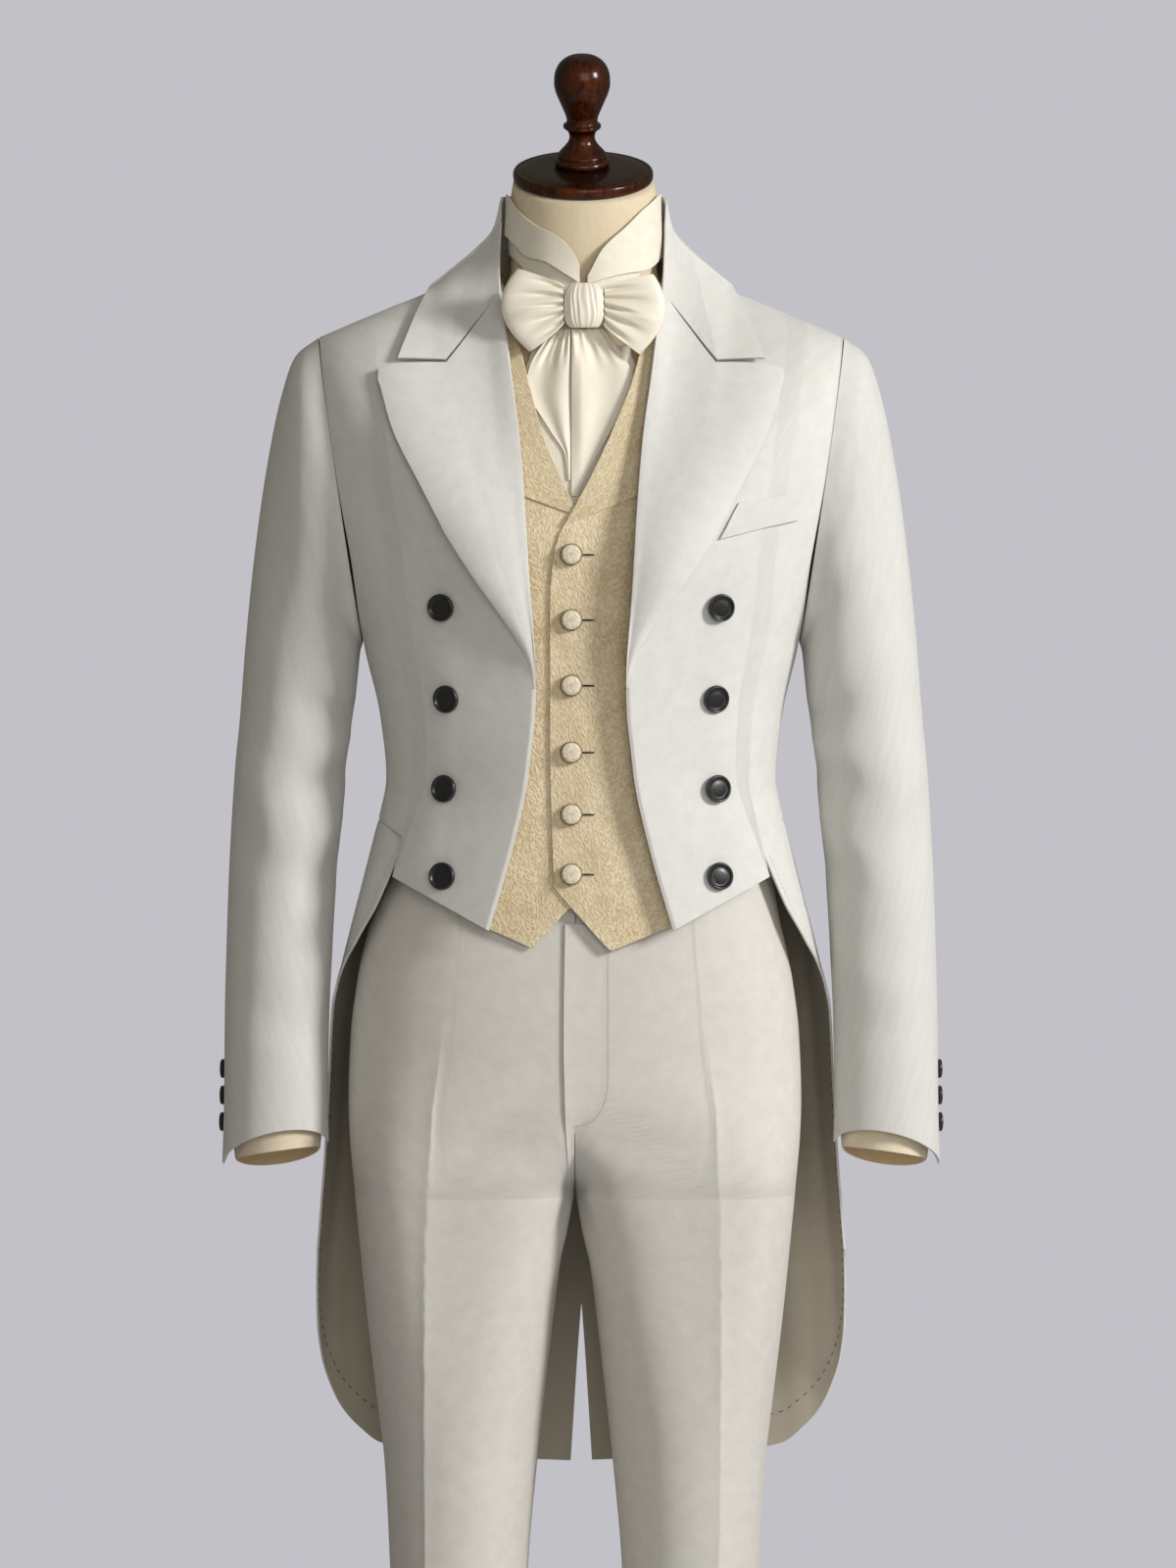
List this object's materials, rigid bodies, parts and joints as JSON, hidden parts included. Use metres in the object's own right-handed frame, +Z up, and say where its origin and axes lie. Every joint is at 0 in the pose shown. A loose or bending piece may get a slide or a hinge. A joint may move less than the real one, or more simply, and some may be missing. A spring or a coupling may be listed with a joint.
{
  "type": "evening tail coat suit on a limbless dress form",
  "caption": "Pale double-breasted tail coat worn open with peaked lapels, gold waistcoat, grey creased trousers, high collar and bow, on a limbless dress form with a turned finial",
  "frame": {"origin": "centre of the base plate's box, on its underside", "axes": "+Z up, the chest and waistcoat face -Y, the wearer's left arm is at +X"},
  "size_m": [0.5904, 0.37, 1.7776],
  "materials": {
    "coat_wool": "matt ivory wool",
    "vest_cloth": "fine crinkled pale gold cloth",
    "trouser_wool": "matt light grey wool",
    "shirt_cotton": "smooth cream cotton",
    "bow_satin": "soft satin",
    "form_linen": "stretched linen over a hard form",
    "dark_wood": "polished dark red-brown",
    "button_horn": "near black, rimmed",
    "stand_metal": "satin black"
  },
  "bodies": {
    "root": {"form_torso": "form_linen", "neck_cap": "dark_wood", "finial": "dark_wood", "upright_left": "stand_metal", "upright_right": "stand_metal", "base": "stand_metal", "coat_front_left": "coat_wool", "coat_back_left": "coat_wool", "coat_tail_left": "coat_wool", "coat_sleeve_left": "coat_wool", "lapel_left": "coat_wool", "coat_button_left_1": "button_horn", "coat_button_left_2": "button_horn", "coat_button_left_3": "button_horn", "coat_button_left_4": "button_horn", "cuff_button_left_1": "button_horn", "cuff_button_left_2": "button_horn", "cuff_button_left_3": "button_horn", "back_button_left": "button_horn", "vest_front_left": "vest_cloth", "vest_lapel_left": "vest_cloth", "trouser_leg_left": "trouser_wool", "shirt_cuff_left": "shirt_cotton", "bow_loop_left": "bow_satin", "bow_tail_left": "bow_satin", "coat_front_right": "coat_wool", "coat_back_right": "coat_wool", "coat_tail_right": "coat_wool", "coat_sleeve_right": "coat_wool", "lapel_right": "coat_wool", "coat_button_right_1": "button_horn", "coat_button_right_2": "button_horn", "coat_button_right_3": "button_horn", "coat_button_right_4": "button_horn", "cuff_button_right_1": "button_horn", "cuff_button_right_2": "button_horn", "cuff_button_right_3": "button_horn", "back_button_right": "button_horn", "vest_front_right": "vest_cloth", "vest_lapel_right": "vest_cloth", "trouser_leg_right": "trouser_wool", "shirt_cuff_right": "shirt_cotton", "bow_loop_right": "bow_satin", "bow_tail_right": "bow_satin", "coat_collar": "coat_wool", "breast_welt": "coat_wool", "vest_back": "vest_cloth", "vest_button_1": "vest_cloth", "vest_button_2": "vest_cloth", "vest_button_3": "vest_cloth", "vest_button_4": "vest_cloth", "vest_button_5": "vest_cloth", "vest_button_6": "vest_cloth", "waistband": "trouser_wool", "shirt_front": "shirt_cotton", "shirt_neckband": "shirt_cotton", "shirt_collar": "shirt_cotton", "bow_knot": "bow_satin"}
  },
  "joints": []
}
